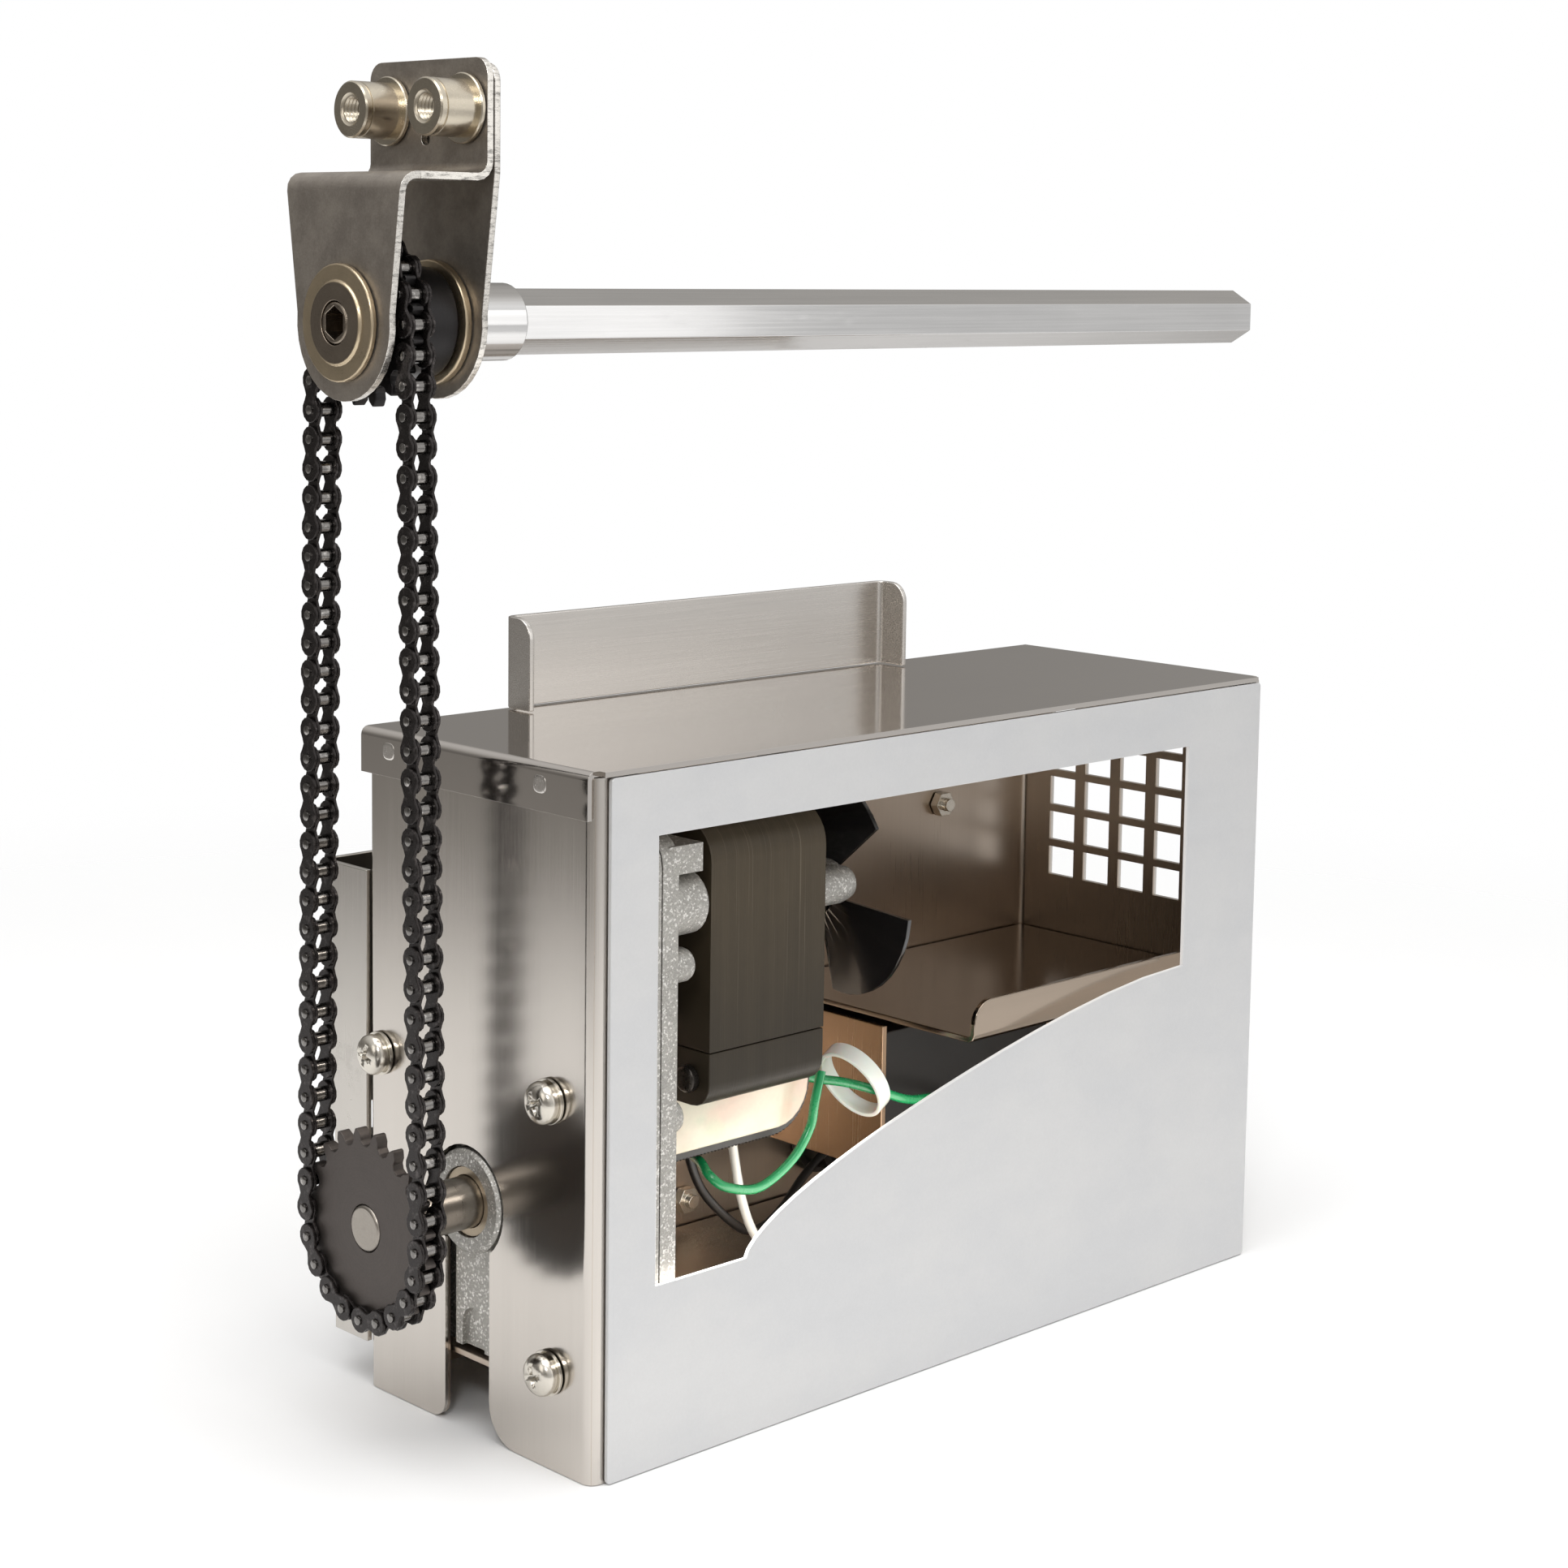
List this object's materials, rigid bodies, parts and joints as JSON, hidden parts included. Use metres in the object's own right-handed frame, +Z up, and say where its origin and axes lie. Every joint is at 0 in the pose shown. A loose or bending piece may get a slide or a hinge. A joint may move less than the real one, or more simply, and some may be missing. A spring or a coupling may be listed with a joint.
{
  "type": "garage door opener",
  "caption": "Chain-drive garage door opener: gearmotor in a cut-away sheet steel box, chain up to a hex drive shaft in a bracket.",
  "frame": {"origin": "centre of the hanger bracket's back face, where it bolts to the wall", "axes": "+X along the shafts from the chain towards the hex bar's free end, +Y out of the back towards the wall, +Z up"},
  "size_m": [0.3054, 0.1011, 0.3057],
  "materials": {
    "stainless": "warm grey polished sheet steel with fine scratches",
    "pale_cover": "pale silver sheet, evenly brushed",
    "bracket_steel": "brown-grey steel sheet with bright sheared edges",
    "chain_steel": "black oxide steel, oiled",
    "shaft_steel": "bright ground steel bar",
    "screw_steel": "bright stainless, turned",
    "casting": "as-cast, slightly grainy",
    "lamination": "dark oiled motor laminations",
    "bronze": "sintered bronze",
    "gear_steel": "cut gear steel, greased",
    "coil_tape": "cream winding tape, varnished",
    "black_plastic": "black moulded plastic",
    "black_rubber": "black rubber",
    "nylon": "milky nylon",
    "green_insulation": "green wire insulation",
    "white_insulation": "white wire insulation"
  },
  "bodies": {
    "frame": {"housing": "stainless", "front_cover": "pale_cover", "lid": "stainless", "floor_panel": "stainless", "hanger_bracket": "stainless", "rear_channel": "stainless", "divider_shelf": "stainless", "gear_case": "casting", "gear_case_cover": "casting", "stator_core": "lamination", "stator_limb": "lamination", "coil": "coil_tape", "coil_wrap": "black_plastic", "rear_bearing_bracket": "casting", "stack_bolt_upper_front": "bracket_steel", "stack_bolt_upper_rear": "bracket_steel", "stack_bolt_lower_front": "bracket_steel", "stack_bolt_lower_rear": "bracket_steel", "output_bushing": "bronze", "axle_fast": "shaft_steel", "axle_slow": "shaft_steel", "case_screw_front_upper": "screw_steel", "case_screw_front_lower": "screw_steel", "case_screw_rear": "screw_steel", "washer_front_upper": "screw_steel", "washer_front_lower": "screw_steel", "washer_rear": "screw_steel", "stud_nut_upper": "screw_steel", "stud_nut_lower": "screw_steel", "control_box": "black_plastic", "control_bracket": "stainless", "cable_bushing": "black_plastic", "rear_bumper": "black_rubber", "cable_tie": "nylon", "green_wire_loop": "green_insulation", "green_wire_lead": "green_insulation", "white_wire": "white_insulation", "black_wire": "black_plastic", "bracket_outer": "bracket_steel", "bracket_inner": "bracket_steel", "standoff_front": "screw_steel", "standoff_back": "screw_steel", "bushing_outer": "bronze", "bushing_inner": "bronze", "roller_chain": "chain_steel"},
    "motor_rotor": {"rotor": "shaft_steel", "rotor_pinion": "gear_steel", "fan": "black_plastic"},
    "fast_gears": {"gear_cluster_fast": "gear_steel"},
    "slow_gears": {"gear_cluster_slow": "gear_steel"},
    "output_drive": {"output_shaft": "shaft_steel", "output_gear": "gear_steel", "lower_sprocket": "chain_steel"},
    "door_shaft": {"hex_shaft": "shaft_steel", "upper_sprocket": "chain_steel"}
  },
  "joints": [
    {"name": "motor_spin", "type": "hinge", "parent": "frame", "child": "motor_rotor", "pos_m": [-0.03, -0.0405, -0.0573], "axis": [1, 0, 0], "continuous": true},
    {"name": "fast_gear_spin", "type": "hinge", "parent": "frame", "child": "fast_gears", "pos_m": [-0.0905, -0.05254, -0.07068], "axis": [1, 0, 0], "continuous": true},
    {"name": "slow_gear_spin", "type": "hinge", "parent": "frame", "child": "slow_gears", "pos_m": [-0.0945, -0.04079, -0.08808], "axis": [1, 0, 0], "continuous": true},
    {"name": "output_spin", "type": "hinge", "parent": "frame", "child": "output_drive", "pos_m": [-0.1045, -0.0377, -0.1149], "axis": [1, 0, 0], "continuous": true, "deforming": ["roller_chain"]},
    {"name": "door_shaft_spin", "type": "hinge", "parent": "frame", "child": "door_shaft", "pos_m": [-0.1045, -0.0377, 0.08191], "axis": [1, 0, 0], "continuous": true}
  ],
  "couplings": [
    {"joint": "fast_gear_spin", "follows": "motor_spin", "ratio": -0.2},
    {"joint": "slow_gear_spin", "follows": "motor_spin", "ratio": 0.04},
    {"joint": "output_spin", "follows": "motor_spin", "ratio": -0.008},
    {"joint": "door_shaft_spin", "follows": "motor_spin", "ratio": -0.01}
  ]
}
